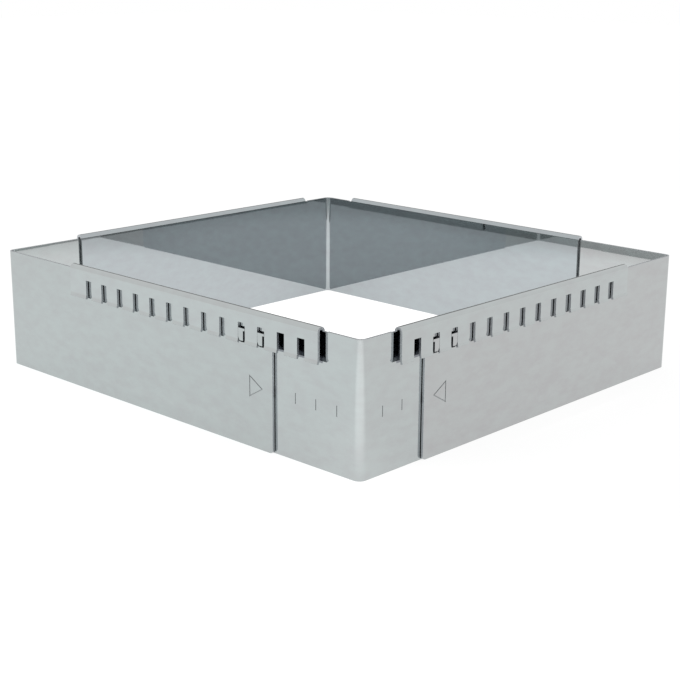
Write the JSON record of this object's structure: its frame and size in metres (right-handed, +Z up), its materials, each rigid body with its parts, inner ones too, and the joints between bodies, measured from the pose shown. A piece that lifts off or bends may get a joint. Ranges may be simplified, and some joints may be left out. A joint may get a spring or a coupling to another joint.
{
  "type": "adjustable cake frame",
  "caption": "Adjustable rectangular cake frame of L-shaped steel corners; plain wings slide inside the hooked, notched rails of their neighbours to set width and length.",
  "frame": {"origin": "on the floor at the middle of the frame, as set at rest", "axes": "+Z up, +Y along the frame's longer side, +X along its shorter side; the near corner is at -X -Y"},
  "size_m": [0.1994, 0.2094, 0.0516],
  "materials": {
    "stainless_steel": "bright rolled stainless sheet with bare cut edges"
  },
  "bodies": {
    "near_corner": {"near_corner": "stainless_steel"},
    "right_corner": {"right_corner": "stainless_steel"},
    "left_corner": {"left_corner": "stainless_steel"},
    "far_corner": {"far_corner": "stainless_steel"}
  },
  "joints": [
    {"name": "width_slide", "type": "slide", "parent": "near_corner", "child": "right_corner", "axis": [1, 0, 0], "range_m": [-0.01, 0.1]},
    {"name": "length_slide", "type": "slide", "parent": "near_corner", "child": "left_corner", "axis": [0, 1, 0], "range_m": [-0.02, 0.09]},
    {"name": "far_slide", "type": "slide", "parent": "right_corner", "child": "far_corner", "axis": [0, 1, 0], "range_m": [-0.02, 0.09]}
  ],
  "couplings": [
    {"joint": "far_slide", "follows": "length_slide", "ratio": 1}
  ]
}
